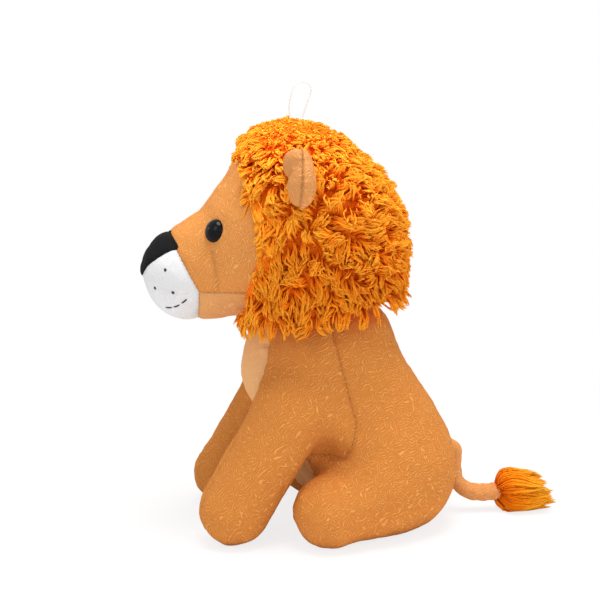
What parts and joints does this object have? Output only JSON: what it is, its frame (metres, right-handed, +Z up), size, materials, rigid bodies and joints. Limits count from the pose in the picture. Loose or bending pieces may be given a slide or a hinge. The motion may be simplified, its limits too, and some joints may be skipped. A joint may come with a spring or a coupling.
{
  "type": "plush lion",
  "caption": "Sitting plush lion with a shaggy orange mane, stitched muzzle, plastic eyes, stuffed body and legs that flex, soft ears and a tufted tail.",
  "frame": {"origin": "on the floor under the seat, on the flat underside of the chest and belly panel, in the lion's middle plane", "axes": "+Z up, -Y towards the nose, +X towards the lion's left side"},
  "size_m": [0.1456, 0.2324, 0.2447],
  "materials": {
    "tan_nap": "short curly tan nap cloth",
    "pale_nap": "smoother, paler tan nap cloth",
    "orange_fur": "long wavy orange pile",
    "white_nap": "short white nap cloth",
    "black_nap": "short black nap cloth",
    "fibre_filling": "loose white fibre filling",
    "eye_plastic": "polished black plastic",
    "washer_plastic": "plain moulded plastic",
    "black_thread": "black embroidery thread",
    "clear_thread": "thin translucent white thread"
  },
  "bodies": {
    "torso": {"chest_panel": "pale_nap", "body_front_left": "tan_nap", "body_front_right": "tan_nap", "body_rear_left": "tan_nap", "body_rear_right": "tan_nap", "body_stuffing": "fibre_filling"},
    "head": {"muzzle_cover": "white_nap", "face_cover": "tan_nap", "chin_panel": "pale_nap", "nose_patch": "black_nap", "head_stuffing": "fibre_filling", "mane": "orange_fur", "hang_loop": "clear_thread", "eye_left": "eye_plastic", "eye_right": "eye_plastic", "eye_washer_left": "washer_plastic", "eye_washer_right": "washer_plastic", "whisker_dot_left_1": "black_thread", "whisker_dot_left_2": "black_thread", "whisker_dot_left_3": "black_thread", "whisker_dot_right_1": "black_thread", "whisker_dot_right_2": "black_thread", "whisker_dot_right_3": "black_thread", "mouth_stitch_left_1": "black_thread", "mouth_stitch_left_2": "black_thread", "mouth_stitch_left_3": "black_thread", "mouth_stitch_right_1": "black_thread", "mouth_stitch_right_2": "black_thread", "mouth_stitch_right_3": "black_thread"},
    "ear_left": {"ear_left_front": "tan_nap", "ear_left_back": "tan_nap"},
    "ear_right": {"ear_right_front": "tan_nap", "ear_right_back": "tan_nap"},
    "front_leg_left": {"front_leg_left_cover": "tan_nap", "front_leg_left_stuffing": "fibre_filling"},
    "front_leg_right": {"front_leg_right_cover": "tan_nap", "front_leg_right_stuffing": "fibre_filling"},
    "hind_leg_left": {"hind_leg_left_cover": "tan_nap", "hind_leg_left_stuffing": "fibre_filling"},
    "hind_leg_right": {"hind_leg_right_cover": "tan_nap", "hind_leg_right_stuffing": "fibre_filling"},
    "tail": {"tail": "tan_nap", "tail_tuft": "orange_fur"}
  },
  "joints": [
    {"name": "head_turn", "type": "hinge", "parent": "torso", "child": "head", "pos_m": [0, -0.036, 0.104], "axis": [0, 0, 1], "range_deg": [-20, 20], "stiffness_Nm_per_rad": 0.25},
    {"name": "ear_left_fold", "type": "hinge", "parent": "head", "child": "ear_left", "pos_m": [0.04642, -0.051, 0.1933], "axis": [-0.5, 0, 0.866], "range_deg": [-20, 20], "stiffness_Nm_per_rad": 0.02},
    {"name": "ear_right_fold", "type": "hinge", "parent": "head", "child": "ear_right", "pos_m": [-0.04642, -0.051, 0.1933], "axis": [0.5, 0, 0.866], "range_deg": [-20, 20], "stiffness_Nm_per_rad": 0.02},
    {"name": "front_leg_left_swing", "type": "hinge", "parent": "torso", "child": "front_leg_left", "pos_m": [0.03277, -0.05659, 0.06802], "axis": [-1, 0, 0], "range_deg": [-2, 25], "stiffness_Nm_per_rad": 0.25},
    {"name": "front_leg_right_swing", "type": "hinge", "parent": "torso", "child": "front_leg_right", "pos_m": [-0.03277, -0.05659, 0.06802], "axis": [-1, 0, 0], "range_deg": [-2, 25], "stiffness_Nm_per_rad": 0.25},
    {"name": "hind_leg_left_swing", "type": "hinge", "parent": "torso", "child": "hind_leg_left", "pos_m": [0.03759, -0.01275, 0.0228], "axis": [0, 0, 1], "range_deg": [-4, 15], "stiffness_Nm_per_rad": 0.3},
    {"name": "hind_leg_right_swing", "type": "hinge", "parent": "torso", "child": "hind_leg_right", "pos_m": [-0.03759, -0.01275, 0.0228], "axis": [0, 0, -1], "range_deg": [-4, 15], "stiffness_Nm_per_rad": 0.3},
    {"name": "tail_swing", "type": "hinge", "parent": "torso", "child": "tail", "pos_m": [0, 0.03849, 0.0435], "axis": [0, 0, 1], "range_deg": [-30, 30], "stiffness_Nm_per_rad": 0.03}
  ]
}
